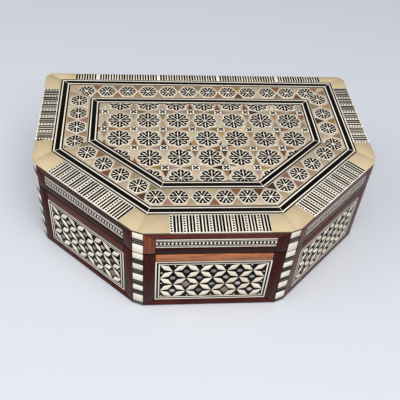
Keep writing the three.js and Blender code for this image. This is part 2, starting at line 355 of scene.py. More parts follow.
class Recipe:
    """A finish being mixed. Every node but plain arithmetic comes from node()."""

    def __init__(self, name):
        self.finish = bpy.data.materials.new(name)
        self.finish.use_nodes = True
        self.tree = self.finish.node_tree
        self.tree.nodes.clear()

    def node(self, kind, settings=None, inputs=None, out=0):
        """Adds a node: its settings first, then the values or wires of its sockets. Returns one output."""
        made = self.tree.nodes.new(kind)
        for name, value in (settings or {}).items():
            if name == "stops":
                ramp = made.color_ramp
                while len(ramp.elements) < len(value):
                    ramp.elements.new(1.0)
                for element, (place, colour) in zip(ramp.elements, value):
                    element.position, element.color = place, (*colour, 1.0)
            else:
                setattr(made, name, value)
        for name, value in (inputs or {}).items():
            if isinstance(value, Wire):
                self.tree.links.new(value.socket, made.inputs[name])
            else:
                made.inputs[name].default_value = value
        return Wire(self, made.outputs[out]) if len(made.outputs) else None

    def grain(self, stretch=(1, 1, 1), source="UV"):
        """Places along the grain of a tile, in centimetres, or in the box's frame for 'Object'."""
        if source == "UV":
            where = self.node("ShaderNodeUVMap", {"uv_map": "grain"})
        else:
            where = self.node("ShaderNodeTexCoord", out=source)
        return self.node("ShaderNodeMapping", {}, {"Vector": where, "Scale": stretch})

    def noise(self, where, scale=1.0, detail=4.0, roughness=0.55, distortion=0.0):
        """Cloudy noise from 0 to 1 at the places."""
        return self.node("ShaderNodeTexNoise", {}, {"Vector": where, "Scale": scale, "Detail": detail,
                                                    "Roughness": roughness, "Distortion": distortion})

    def spread(self, value, low, high):
        """The value stretched so that low becomes 0 and high becomes 1, held between them."""
        inputs = {"Value": value, "From Min": low, "From Max": high}
        return self.node("ShaderNodeMapRange", {"clamp": True}, inputs)

    def tint(self):
        """The tile's own colour."""
        return self.node("ShaderNodeAttribute", {"attribute_name": "tint"}, out="Color")

    def shade(self, colour, amount):
        """The colour made darker or lighter by a factor."""
        return self.node("ShaderNodeVectorMath", {"operation": "SCALE"}, {0: colour, "Scale": amount})

    def mix(self, share, first, second, blend="MIX"):
        """Two colours mixed: share 0 gives the first."""
        pick = {6: first, 7: second}
        pick = {k: (*v, 1.0) if isinstance(v, tuple) and len(v) == 3 else v for k, v in pick.items()}
        settings = {"data_type": "RGBA", "blend_type": blend}
        return self.node("ShaderNodeMix", settings, {0: share, **pick}, out=2)

    def streaks(self, stretch, *sort):
        """Noise drawn out along a tile's grain."""
        return self.noise(self.grain(stretch), *sort)

    def patches(self, *sort):
        """Noise that runs on from tile to tile, in the box's frame."""
        return self.noise(self.grain(source="Object"), *sort)

    def surface(self, colour, roughness, relief=None, shine=0.5, **sockets):
        """Closes the finish with one shader. relief is a height, its strength and its distance."""
        inputs = {name.replace("_", " "): value for name, value in sockets.items()}
        inputs |= {"Base Color": colour, "Roughness": roughness, "Specular IOR Level": shine}
        if relief:
            bump = dict(zip(("Height", "Strength", "Distance"), relief))
            inputs["Normal"] = self.node("ShaderNodeBump", {}, bump)
        shader = self.node("ShaderNodeBsdfPrincipled", {}, inputs)
        self.node("ShaderNodeOutputMaterial", {}, {"Surface": shader})
        return self.finish


def ebony_finish():
    """Near-black wood with fine pale streaks and a low polish that wear has made uneven."""
    r = Recipe("polished_ebony")
    streaks = r.streaks((0.8, 9, 1), 3.0, 5)
    wear = r.patches(90.0, 3)
    colour = r.shade(r.tint(), 0.45 + 1.1 * streaks)
    dusty = r.mix(r.spread(wear, 0.58, 0.85) * 0.12, colour, (0.10, 0.085, 0.07))
    return r.surface(dusty, 0.30 + 0.25 * wear, (streaks, 0.25, 0.0002), 0.1)


def bone_finish():
    """Cream bone: long faint marrow lines, tea-coloured stains and a soft polish."""
    r = Recipe("polished_bone")
    lines = r.streaks((0.7, 7, 1), 2.2, 5, 0.6)
    pores = r.streaks((3, 26, 1), 5.0, 2)
    stain = r.patches(42.0, 4, 0.6)
    colour = r.shade(r.tint(), 0.86 + 0.28 * lines)
    colour = r.mix(r.spread(stain, 0.52, 0.8) * 0.38, colour, (0.50, 0.33, 0.16))
    colour = r.mix(r.spread(pores, 0.66, 0.8) * 0.3, colour, (0.34, 0.22, 0.12))
    return r.surface(colour, 0.36 + 0.2 * stain, (lines + pores, 0.12, 0.0002), 0.2)


def pearl_finish():
    """Mother-of-pearl: clouds that drift from rose through silver to sea green, glossy."""
    r = Recipe("mother_of_pearl")
    clouds = r.streaks((1, 2.5, 1), 2.0, 3, 0.5, 0.8)
    sheen = r.node("ShaderNodeValToRGB", {"stops": [(0.30, (0.60, 0.46, 0.42)), (0.45, (0.74, 0.70, 0.64)),
                                                    (0.58, (0.58, 0.62, 0.50)), (0.72, (0.70, 0.62, 0.62))]},
                   {"Fac": clouds})
    colour = r.mix(0.75, r.tint(), r.mix(1.0, r.tint(), r.shade(sheen, 1.45), "MULTIPLY"))
    return r.surface(colour, 0.16 + 0.2 * clouds, (clouds, 0.15, 0.0003), 0.3)


def dyed_wood_finish():
    """Thin coloured woods: the tile's colour with close straight grain."""
    r = Recipe("coloured_wood")
    lines = r.streaks((0.9, 12, 1), 3.0, 5, 0.65)
    clouds = r.streaks((1, 1, 1), 1.6, 2)
    colour = r.shade(r.tint(), 0.35 + 0.75 * lines + 0.5 * clouds)
    return r.surface(colour, 0.32 + 0.2 * lines, (lines, 0.2, 0.0002), 0.15)


def rosewood_finish():
    """Red-brown wood under old varnish: dark streaks, open pores, rubbed pale patches and fine scratches."""
    r = Recipe("varnished_rosewood")
    bands = r.streaks((0.35, 3.2, 1), 2.0, 5, 0.6, 0.6)
    fibres = r.streaks((0.8, 22, 1), 3.0, 5, 0.7)
    pores = r.spread(r.streaks((2.2, 40, 1), 3.2, 2), 0.62, 0.72)
    rubbed = r.patches(55.0, 6, 0.7)
    scratches = r.spread(r.streaks((1.2, 60, 1), 1.4, 2, 0.5, 1.2), 0.70, 0.76)
    colour = r.shade(r.tint(), 0.1 + 1.9 * r.spread(bands, 0.3, 0.75) * fibres + 0.75 * fibres)
    colour = r.mix(pores * 0.6, colour, (0.012, 0.005, 0.004))
    colour = r.mix(r.spread(rubbed, 0.60, 0.82) * 0.35, colour, (0.24, 0.085, 0.045))
    colour = r.mix(scratches * 0.18, colour, (0.42, 0.26, 0.18))
    return r.surface(colour, 0.30 + 0.22 * rubbed + 0.12 * pores, (fibres * 0.5 - pores, 0.35, 0.0003),
                     0.15, Coat_Weight=0.06 - 0.06 * r.spread(rubbed, 0.55, 0.8), Coat_Roughness=0.22)


def mastic_finish():
    """The dark glue and filler between tiles."""
    r = Recipe("dark_mastic")
    grit = r.patches(900.0, 3)
    colour = r.shade(r.tint(), 0.6 + 0.8 * grit)
    return r.surface(colour, 0.55 + 0.25 * grit, (grit, 0.3, 0.0002), 0.1)


def carcass_finish(name, colours, turn):
    """Plain board: growth bands and fibres running along the board, turned to its direction."""
    r = Recipe(name)
    where = r.node("ShaderNodeMapping", {"vector_type": "POINT"},
                   {"Vector": r.node("ShaderNodeTexCoord", out="Object"), "Rotation": (0, 0, -turn)})
    stretched = r.node("ShaderNodeMapping", {}, {"Vector": where, "Scale": (0.12, 1, 1)})
    bands = r.noise(stretched, 60.0, 4, 0.55, 0.4)
    fibres = r.noise(stretched, 420.0, 4, 0.7)
    flecks = r.spread(r.noise(stretched, 900.0, 2), 0.62, 0.7)
    colour = r.mix(0.25 * bands + 0.75 * fibres, *colours)
    colour = r.mix(flecks * 0.3, colour, (0.10, 0.05, 0.025))
    return r.surface(colour, 0.5 + 0.25 * fibres, (fibres, 0.3, 0.0003))


def velvet_finish():
    """Crimson velvet: brushed light and dark patches of pile, with a soft sheen at the edges."""
    r = Recipe("crimson_velvet")
    where = r.grain(source="Object")
    brushed = r.noise(where, 38.0, 4, 0.6, 0.8)
    pile = r.noise(where, 2600.0, 2, 0.6)
    colour = r.mix(r.spread(brushed, 0.35, 0.68), (0.12, 0.004, 0.010), (0.34, 0.014, 0.028))
    colour = r.shade(colour, 0.65 + 0.7 * pile)
    return r.surface(colour, 0.85 + 0.1 * pile, (pile + 0.6 * brushed, 0.6, 0.0004), 0.15, Sheen_Weight=0.6,
                     Sheen_Roughness=0.35, Sheen_Tint=(1.0, 0.35, 0.38, 1.0))


def felt_finish():
    """Green baize: matted fibres."""
    r = Recipe("green_baize")
    where = r.grain(source="Object")
    fibres = r.noise(where, 1400.0, 6, 0.75, 1.5)
    patches = r.noise(where, 60.0, 3)
    colour = r.mix(fibres, (0.008, 0.035, 0.02), (0.03, 0.12, 0.065))
    return r.surface(r.shade(colour, 0.7 + 0.6 * patches), 0.9 + 0.05 * fibres, (fibres, 0.7, 0.0004),
                     0.1)


def brass_finish():
    """Rolled brass sheet: drawn lines, brown tarnish in clouds and small bright rubs."""
    r = Recipe("tarnished_brass")
    drawn = r.noise(r.grain((120, 2600, 2600), "Object"), 1.0, 3, 0.6)
    tarnish = r.patches(420.0, 5, 0.65)
    colour = r.mix(r.spread(tarnish, 0.38, 0.72), (0.74, 0.52, 0.20), (0.27, 0.16, 0.06))
    return r.surface(r.shade(colour, 0.8 + 0.35 * drawn), 0.24 + 0.3 * tarnish, (drawn, 0.15, 0.0001),
                     Metallic=1.0)


FINISHES = {"ebony": ebony_finish(), "bone": bone_finish(), "pearl": pearl_finish(),
            "wood": dyed_wood_finish(), "rosewood": rosewood_finish(), "mastic": mastic_finish()}

# Colours are linear red, green and blue.
GREY_WOOD = np.array((0.14, 0.125, 0.105))
ROSEWOOD = np.array((0.062, 0.0115, 0.0080))
PEARL_GREY = np.array((0.42, 0.42, 0.40))
DIAGONAL_RAIL = (0.105, 0.035, 0.022)
BEECH = ((0.42, 0.24, 0.12), (0.62, 0.42, 0.24))
POINT_PEARLS = np.array([(0.46, 0.36, 0.31), (0.44, 0.42, 0.28), (0.56, 0.47, 0.35), (0.34, 0.26, 0.25)])
STAR_WOODS = np.array([(0.22, 0.105, 0.050), (0.26, 0.15, 0.08), (0.34, 0.215, 0.095), (0.22, 0.19, 0.10),
                       (0.28, 0.17, 0.135), (0.30, 0.21, 0.13), (0.14, 0.065, 0.040), (0.40, 0.31, 0.19),
                       (0.070, 0.040, 0.030)])

# Sorts of tile by what they are cut from, a finish and a colour where all have the same. A sort's numbers are
# how far its brightness varies, the height of its top above the plane, its thickness, its bevel and,
# for some, how far a tile leans by chance.
STUFFS = [
    ("bone", (0.82, 0.76, 0.65), {
        "ladder_ground": (0.03, -0.05, 1.05, 0.02), "bone_string": (0.06, -0.02, 1.0, 0.03),
        "mitre_sliver": (0.1, 0.0, 0.2, 0.02), "hexagon": (0.05, 0.0, 0.5, 0.05),
        "star_wedge": (0.08, 0.06, 0.3, 0.03), "cross_tile": (0.05, 0.02, 0.4, 0.07),
        "lobe": (0.06, 0.0, 0.4, 0.01), "needle": (0.06, 0.05, 0.3, 0.03),
        "bone_line": (0.08, -0.02, 1.2, 0.04), "edge_chip": (0.15, 0.0, 0.5, 0.04),
        "strip_bone": (0.1, -0.02, 1.1, 0.03), "bone_square": (0.12, -0.01, 1.1, 0.05),
        "post_block": (0.08, 0.0, 1.45, 0.12),
    }),
    ("bone", (0.50, 0.425, 0.33), {
        "border_ground": (0.04, -0.06, 1.0, 0.02), "panel_ground": (0.0, -0.06, 1.0, 0.02),
    }),
    ("bone", (0.57, 0.46, 0.30), {"corner_plate": (0.05, 0.0, 1.1, 0.03)}),
    ("bone", (0.64, 0.56, 0.45), {"lozenge": (0.16, -0.02, 0.4, 0.09)}),
    ("bone", (0.84, 0.76, 0.62), {"rhombus": (0.10, 0.0, 0.6, 0.07, 0.02)}),
    ("ebony", (0.0065, 0.0055, 0.005), {
        "ladder_bar": (0.3, 0.0, 0.6, 0.05), "ebony_string": (0.3, -0.02, 1.0, 0.03),
        "star_point": (0.3, 0.03, 0.4, 0.03, 0.004), "cross_arm": (0.3, 0.05, 0.3, 0.03),
        "petal": (0.3, 0.03, 0.3, 0.03), "ebony_line": (0.08, -0.02, 1.2, 0.04),
        "field": (0.0, -0.08, 1.2, 0.02), "strip_ebony": (0.1, -0.02, 1.1, 0.03),
        "ebony_square": (0.3, -0.01, 1.1, 0.05), "ebony_leaf": (0.3, -0.02, 1.4, 0.05),
    }),
    ("mastic", (0.03, 0.022, 0.016), {
        "filler": (0.3, 0.01, 0.3, 0.04), "glue_line": (0.2, 0.01, 0.3, 0.03),
        "strip_ground": (0.0, -0.3, 1.1, 0.05), "post_ground": (0.0, -0.5, 0.9, 0.05),
    }),
    ("mastic", (0.05, 0.026, 0.018), {"crack": (0.1, 0.03, 0.6, 0.06)}),
    ("pearl", None, {
        "pearl_point": (0.2, 0.0, 0.4, 0.06, 0.004), "pearl_disc": (0.1, -0.01, 0.5, 0.12, 0.02),
    }),
    ("pearl", (0.52, 0.44, 0.36), {"pearl_hourglass": (0.25, 0.03, 0.4, 0.05)}),
    ("pearl", (0.26, 0.20, 0.19), {"pearl_rhombus": (0.3, -0.01, 0.5, 0.08)}),
    ("rosewood", None, {"member": (0.0, 0.0, 1.45, 0.22)}),
    ("wood", None, {
        "brown_bar": (0.2, 0.0, 0.6, 0.05), "hourglass": (0.2, 0.01, 0.4, 0.05),
        "wood_point": (0.25, 0.0, 0.4, 0.06, 0.004), "grey_leaf": (0.3, -0.02, 1.4, 0.05),
    }),
    ("wood", (0.10, 0.11, 0.09), {"foot_block": (0.2, -0.01, 1.4, 0.1)}),
]
SORTS = {name: (finish, tint, *numbers) for finish, tint, sorts in STUFFS for name, numbers in sorts.items()}


def woods(marquetry, count):
    """A chance pick of coloured woods, the last, dark one seldom."""
    chances = np.array([3, 3, 2, 2, 2, 2, 2, 3, 0.5])
    return STAR_WOODS[marquetry.chance.choice(len(STAR_WOODS), count, p=chances / chances.sum())]


# ---- Lid top ----
lid_plane = Plane((0, 0, LID_TOP), (1, 0, 0), (0, 1, 0))
BAND_REACH = reach("lid_outer_band")
BORDER_REACH = reach("lid_rosette_border")
INNER_BAND_REACH = reach("lid_inner_band")
PANEL_REACH = reach("lid_centre_panel")


def strip(i, outer, inner):
    """One side's mitred strip between two outlines of the lid."""
    after = (i + 1) % COUNT
    return np.array([[outer[i], outer[after], inner[after], inner[i]]])


def beside(i, shape, start):
    """Shapes given as distance along a side and depth inwards, put in plan."""
    return start + shape[..., :1] * ALONG[i] - shape[..., 1:] * OUTWARD[i]


def ladder_border():
    """Bone plates at the corners and, between them, ebony bars and rows of ebony dots in bone.

    A ladder is given by the lengths of its two plates and its pattern, where o is a row of dots, b a bar, t a
    thin brown bar and g a gap. The left side has a crack, stopped with dark filler, beside its last plate.
    """
    work = Marquetry(11)
    outer, inner = outline_at(EDGE_REACH), outline_at(BAND_REACH)
    work.window = lid_outline_corners()
    bar_shares, margins = {"left": 0.78, "right": 0.74}, {"back": 0.25}
    dot, row_pitch = 1.08, 1.62
    ladders = {
        "left": (17.5, 18.6, "obbb" * 7 + "o"),
        "left_diagonal": (12.8, 13.2, "obbb" * 6 + "obbbbb"),
        "front": (17.0, 13.6, "obbb" * 3 + "obbbbbb" + "obbb" * 3),
        "right_diagonal": (15.0, 12.3, "obbb" * 7),
        "right": (16.9, 13.6, "obbb" * 7 + "bb"),
        "back": (16.9, 18.8, "bbbbbbtbbbbbbbbbbgbbbbb" * 4 + "bbb"),
    }
    for i, side in enumerate(SIDES):
        after = (i + 1) % COUNT
        length = np.linalg.norm(outer[after] - outer[i])
        width = EDGE_REACH[i] - BAND_REACH[i]
        first, last, pattern = ladders[side]
        margin = margins.get(side, 0.6)
        last = length - last
        ends = beside(i, np.array([[first, 0], [first, width], [last, 0], [last, width]]), outer[i])
        plates = np.array([[outer[i], ends[0], ends[1], inner[i]],
                           [ends[2], outer[after], inner[after], ends[3]]])
        work.lay("corner_plate", plates, grain=TURN[i])
        work.lay("ladder_ground", ends[None, [0, 2, 3, 1]])
        step = (last - first) / len(pattern)
        places = first + step * (np.arange(len(pattern)) + 0.5)
        letters = np.array(list(pattern))
        bars = places[letters == "b"]
        wobble = work.chance.uniform(-0.1, 0.1, len(bars))
        thickness = bar_shares.get(side, 0.63) * step * work.chance.uniform(0.82, 1.12, len(bars))
        shape = rectangles(bars + wobble - thickness / 2, bars + wobble + thickness / 2,
                           margin + work.chance.uniform(-0.12, 0.12, len(bars)),
                           width - margin + work.chance.uniform(-0.12, 0.12, len(bars)))
        work.lay("ladder_bar", beside(i, shape, outer[i]))
        thin = places[letters == "t"]
        if len(thin):
            shape = rectangles(thin - 0.33 * step, thin + 0.33 * step, margin, width - margin)
            shade = STAR_WOODS[work.chance.choice([0, 6, 5], len(thin))] * 0.6
            work.lay("brown_bar", beside(i, shape, outer[i]), shade)
        dots = places[letters == "o"]
        rows = int((width - 2 * margin) / row_pitch)
        depths = margin + (width - 2 * margin) * (np.arange(rows) + 0.5) / rows
        grid = grid_of(dots, depths)
        grid = grid + work.chance.uniform(-0.09, 0.09, grid.shape)
        work.lay("ladder_bar", beside(i, repeated(square(dot / 2), grid), outer[i]))
        if side == "left":
            crack = np.array([[[last - 0.9, 6.8], [last - 0.3, 0.9], [last + 0.9, 0.9], [last + 0.3, 3.4]]])
            work.lay("crack", beside(i, crack, outer[i]))
    work.solid("ladder_border", lid_plane, "lid", ["lid_ladder_border"])


def lid_outline_corners():
    """The lid's outline with its corners cut off, twelve points in turn."""
    posts = [plan_edge(f"lid_{corner}_post") for corner in CORNERS]
    return np.array([point for start, end in posts for point in (start, end)])


def stringing_band(name, node, reach_out, reach_in, seed):
    """A band of five strings, ebony and bone in turn, mitred at the corners with a bone sliver on each."""
    work = Marquetry(seed)
    shares = np.array([0.0, 0.145, 0.275, 0.715, 0.855, 1.0])
    lines = [outline_at(reach_out + (reach_in - reach_out) * share) for share in shares]
    for number, (outer, inner) in enumerate(zip(lines[:-1], lines[1:])):
        is_bone = number % 2 == 1
        for i in range(COUNT):
            work.lay("bone_string" if is_bone else "ebony_string", strip(i, outer, inner), grain=TURN[i])
    sliver, short = 0.14, 0.2
    for i in range(COUNT):
        line = unit(lines[-1][i] - lines[0][i])
        across = sliver * np.array([-line[1], line[0]])
        ends = lines[0][i] + short * line, lines[-1][i] - short * line
        work.lay("mitre_sliver",
                 np.array([[ends[0] - across, ends[1] - across, ends[1] + across, ends[0] + across]]))
    work.solid(name, lid_plane, "lid", [node])


def hexagon_star(work, centres, angle):
    """Bone hexagons with six ebony triangles between spokes, and a bone wedge at each triangle's foot."""
    radius, spoke, rim = 6.2, 0.27, 0.62
    flat = (radius - rim) * math.cos(math.pi / 6)
    half = flat * math.tan(math.pi / 6) - spoke
    inner = spoke / math.sin(math.pi / 6)
    spokes = angle + math.pi / 3 * (np.arange(6) + 0.5)
    triangle = [[inner, 0.0], [flat, -half], [flat, half]]
    wedge = [[flat - 2.5, 0.0], [flat - 0.5, -0.62], [flat - 0.5, 0.62]]
    work.lay("hexagon", repeated(turned(regular(6, radius), angle)[None], centres))
    work.lay("star_point", repeated(fan(triangle, spokes), centres))
    work.lay("star_wedge", repeated(fan(wedge, spokes), centres))


def hourglass(work, places, angle, tip_to_foot):
    """Pairs of coloured triangles between hexagons, point to point across the strip; some are pearl."""
    neck, half, pearl_share = 0.75, 3.0, 0.2
    for turn in (angle + math.pi / 2, angle - math.pi / 2):
        shapes = repeated(fan([[neck, 0.0], [tip_to_foot, -half], [tip_to_foot, half]], [turn]), places)
        work.lay("hourglass", shapes, woods(work, len(places)), turn)
        pearls = work.chance.random(len(places)) < pearl_share
        work.lay("pearl_hourglass", shapes[pearls], grain=turn)


def rosette_border():
    """A border of hexagon stars: six along the front, two of them on its mitres, and a row on each side.

    A side's stars are cut at its own mitres, but the first few of some sides run over them to the next side.
    """
    work = Marquetry(23)
    outer, inner = outline_at(BORDER_REACH), outline_at(INNER_BAND_REACH)
    middle = outline_at((BORDER_REACH + INNER_BAND_REACH) / 2)
    width = (BORDER_REACH - INNER_BAND_REACH).mean()
    for i in range(COUNT):
        work.lay("border_ground", strip(i, outer, inner), grain=TURN[i])
    for i, side in enumerate(SIDES):
        length = np.linalg.norm(middle[(i + 1) % COUNT] - middle[i])
        first, pitch, number = {"left": (10.0, 13.3, 4), "left_diagonal": (9.7, 13.4, 4),
                                "front": (0.0, length / 5, 6), "right_diagonal": (13.1, 13.1, 4),
                                "right": (1.6, 15.0, 4), "back": (length / 2 - 70.0, 13.0, 12)}[side]
        whole = {"left": 0, "back": 0, "right": 1}.get(side, number)
        stars = first + pitch * np.arange(number)
        spots = middle[i] + stars[:, None] * ALONG[i]
        spots = spots + work.chance.uniform(-0.2, 0.2, spots.shape)
        between = (stars[1:] + stars[:-1]) / 2
        if side != "front":
            between = np.concatenate([[stars[0] - pitch / 2], between, [stars[-1] + pitch / 2]])
        own = strip(i, outer, inner)[0]
        work.window = own
        hourglass(work, middle[i] + between[:, None] * ALONG[i], TURN[i], width / 2 - 0.55)
        turn = TURN[i] + work.chance.uniform(-0.03, 0.03)
        work.window = outer
        hexagon_star(work, spots[:whole], turn)
        work.window = own
        hexagon_star(work, spots[whole:], turn)
    work.solid("rosette_border", lid_plane, "lid", ["lid_rosette_border"])


QUARTER = math.pi / 2 * np.arange(4)
EIGHTH = math.pi / 4 * np.arange(8)


def cross_tiles(work, places, worn):
    """Square tiles with an ebony cross, each among four pale lozenges and four coloured points.

    Splinters of dark filler lie beside the three tiles nearest the worn place, where chips were made good.
    """
    work.lay("lozenge", repeated(kites(QUARTER + math.pi / 4, 6.2, 4.6, 1.5, 3.0), places))
    shapes = repeated(fan([[2.45, -1.95], [8.3, 0.0], [2.45, 1.95]], QUARTER), places)
    turns = np.tile(QUARTER, len(places))
    pearly = work.chance.random(len(shapes)) < 0.3
    tints = woods(work, len(shapes))
    work.lay("wood_point", shapes[~pearly], tints[~pearly], turns[~pearly])
    pick = POINT_PEARLS[work.chance.integers(0, len(POINT_PEARLS), pearly.sum())]
    work.lay("pearl_point", shapes[pearly], pick, turns[pearly])
    chip = [[2.5, 1.5], [6.1, 0.7], [4.6, 2.0], [2.9, 2.8]]
    for spot in places[np.argsort(np.linalg.norm(places - worn, axis=1))[:3]]:
        turns = QUARTER[work.chance.choice(4, 3, replace=False)] + work.chance.uniform(-0.2, 0.2, 3)
        work.lay("filler", repeated(fan(chip, turns), spot[None]))
    half, glue = 2.35, 0.2
    arm = [[0.1, -0.25], [1.0, -0.62], [2.1, -0.5], [2.1, 0.5], [1.0, 0.62], [0.1, 0.25]]
    work.lay("glue_line", repeated(square(half + glue), places))
    work.lay("cross_tile", repeated(square(half), places))
    work.lay("cross_arm", repeated(fan(arm, QUARTER + math.pi / 4), places))


def rosettes(work, places):
    """Scalloped bone discs with eight ebony petals, eight ebony darts inside them and eight bone needles."""
    valley, valley_turn = 6.6, math.pi / 8
    valley_x, valley_y = valley * math.cos(valley_turn), valley * math.sin(valley_turn)
    lobe = [[0.0, 0.0], [valley_x, -valley_y], [7.1, -1.3], [7.6, 0.0], [7.1, 1.3], [valley_x, valley_y]]
    petal = [[2.2, 0.0], [5.0, -1.95], [6.3, -1.62], [7.25, 0.0], [6.3, 1.62], [5.0, 1.95]]
    needle = [[1.1, 0.0], [2.7, -0.28], [4.6, -0.43], [7.2, 0.0], [4.6, 0.43], [2.7, 0.28]]
    work.lay("lobe", repeated(fan(lobe, EIGHTH), places))
    work.lay("petal", repeated(fan(petal, EIGHTH), places))
    work.lay("petal", repeated(kites(EIGHTH + math.pi / 8, 4.3, 2.9, 0.95, 0.4), places))
    work.lay("needle", repeated(fan(needle, EIGHTH), places))


def centre_panel():
    """Rosettes on a nearly square lattice laid from the back edge, with a cross tile between each four."""
    work = Marquetry(37)
    window = outline_at(PANEL_REACH)
    work.lay("panel_ground", window[None])
    work.window = window
    pitch, row_pitch, shift, overrun = 17.5, 17.2, 0.8, 0.1
    rows = window[0][1] - overrun - row_pitch * np.arange(5)
    centres = grid_of(shift + pitch * (np.arange(7) - 3), rows)
    gaps = grid_of(shift + pitch * (np.arange(8) - 3.5), rows[0] + row_pitch * (0.5 - np.arange(6)))
    centres = centres + work.chance.uniform(-0.3, 0.3, centres.shape)
    gaps = gaps + work.chance.uniform(-0.3, 0.3, gaps.shape)
    cross_tiles(work, gaps, (shift + pitch / 2, rows[2] - row_pitch / 2))
    rosettes(work, centres)
    work.solid("centre_panel_mosaic", lid_plane, "lid", ["lid_centre_panel"])


ladder_border()
stringing_band("outer_stringing", "lid_outer_band", BAND_REACH, BORDER_REACH, 13)
stringing_band("inner_stringing", "lid_inner_band", INNER_BAND_REACH, PANEL_REACH, 17)
rosette_border()
centre_panel()


# ---- Walls ----
SKIN_BOTTOM, RIM = span("case_front_frame")
LID_BOTTOM, LID_SIDE_TOP = span("lid_front_rail")
AXIS_Z = frame["joints"][0]["pos_m"][2] / MM
SLIT = 0.15  # how far the skins of case and lid stop short of the seam
# At the back, the lid and the case are bevelled so that the lid can fall open.
BACK_BEVEL = {"case": AXIS_Z - 2.35, "lid": AXIS_Z + 2.35}


def wall_plane(node):
    """The outer face of an upright piece, across anticlockwise and up, and the face's length."""
    start, end = plan_edge(node)
    length = np.linalg.norm(end - start)
    across = (end - start) / length
    return Plane((*start, 0.0), (*across, 0.0), (0, 0, 1)), length


def window_of(side):
    """The mosaic window in a side's frame: left and right along the face, bottom and top."""
    start, _ = plan_edge(f"case_{side}_frame")
    points = corners_of(f"case_{side}_mosaic")
    across = (points[:, :2] - start) @ ALONG[SIDES.index(side)]
    return across.min(), across.max(), points[:, 2].min(), points[:, 2].max()


MEMBER_TONES = {
    ("front", "rim_rail"): (0.46, 0.19, 0.09), ("left_diagonal", "rim_rail"): DIAGONAL_RAIL,
    ("right_diagonal", "rim_rail"): DIAGONAL_RAIL, ("front", "lid_stile_first"): (0.23, 0.072, 0.034),
    ("front", "top_rail"): (0.145, 0.026, 0.013),
}


def wood_tone(side, kind, work):
    """A member's colour: mostly dark rosewood, some members paler or worn, and a pale grey-brown on the right
    diagonal side that is painted sheen.
    """
    if (side, kind) in MEMBER_TONES:
        return MEMBER_TONES[side, kind]
    # Painted reflection: this pale greyish tint stands in for the sheen of floor and wall light on the right
    # diagonal's varnish.
    if side == "right_diagonal":
        return (0.135, 0.070, 0.064)
    return ROSEWOOD * (0.6 if kind == "lower_rail" else work.chance.uniform(0.75, 1.35))


def lay_members(work, side, members):
    """Rosewood members with a fine gap round each."""
    gap = 0.03
    for kind, (shape, grain) in members.items():
        shape = shrunk(np.array([shape], float), gap)
        work.lay("member", shape, wood_tone(side, kind, work), grain)


def case_frames():
    """Rosewood round each mosaic: stiles and a bottom rail mitred together, a rim rail between the stiles."""
    for number, side in enumerate(SIDES):
        node = f"case_{side}_frame"
        plane, length = wall_plane(node)
        left, right, low, high = window_of(side)
        rim = BACK_BEVEL["case"] if side == "back" else RIM - SLIT
        work = Marquetry(101 + number)
        lay_members(work, side, {
            "stile_first": ([(0, SKIN_BOTTOM), (left, low), (left, rim), (0, rim)], UPRIGHT),
            "stile_last": ([(right, low), (length, SKIN_BOTTOM), (length, rim), (right, rim)], UPRIGHT),
            "bottom_rail": ([(0, SKIN_BOTTOM), (length, SKIN_BOTTOM), (right, low), (left, low)], 0.0),
            "rim_rail": ([(left, high), (right, high), (right, rim), (left, rim)], 0.0),
        })
        work.solid(f"{side}_case_frame", plane, "case", [node])


def rhombi(work, corner, cells, step):
    """One bone rhombus along a diagonal of each lattice cell, so that four meet at every other node."""
    column, row = grid_of(*(np.arange(n) for n in cells)).T
    middle = corner + np.stack([(column + 0.5) * step[0], (row + 0.5) * step[1]], axis=-1)
    middle = middle + work.chance.uniform(-0.12, 0.12, middle.shape)
    rise = math.atan2(step[1], step[0])
    half_long = 0.5 * math.hypot(*step) * 0.95
    half_short = half_long * math.tan(math.radians(24))
    outline = [[-half_long, 0.0], [0.0, -half_short], [half_long, 0.0], [0.0, half_short]]
    angles = np.where((column + row) % 2 == 1, rise, -rise) + work.chance.uniform(-0.03, 0.03, len(column))
    work.lay("rhombus", fan(outline, angles) + middle[:, None], grain=angles)


def star_middles(work, corner, cells, step, centre):
    """Pearl in the middle of each whole star, some in large rhombi, and a bone chip in each half star."""
    column, row = grid_of(*(np.arange(n + 1) for n in cells)).T
    stars = (column + row) % 2 == 0
    column, row = column[stars], row[stars]
    spots = corner + np.stack([column * step[0], row * step[1]], axis=-1)
    spots = spots + work.chance.uniform(-0.15, 0.15, spots.shape)
    at_edge = (column == 0) | (column == cells[0]) | (row == 0) | (row == cells[1])
    whole = spots[~at_edge]
    full = work.chance.random(len(whole)) < 0.12
    brightness = work.chance.uniform(0.25, 1.25, (len(whole), 1))
    disc = regular(6, 1.75, math.pi / 6) * (1.0, 0.92)
    spin = work.chance.uniform(-0.4, 0.4, (~full).sum())
    work.lay("pearl_disc", fan(disc, spin) + whole[~full][:, None], PEARL_GREY * brightness[~full])
    upright = np.array([[[-2.5, 0.0], [0.0, -3.1], [2.5, 0.0], [0.0, 3.1]]])
    work.lay("pearl_rhombus", repeated(upright, whole[full]))
    edge = spots[at_edge] + (centre - spots[at_edge]).clip(-1, 1) * 1.1
    work.lay("edge_chip", repeated(regular(3, 0.75, math.pi / 2)[None], edge))


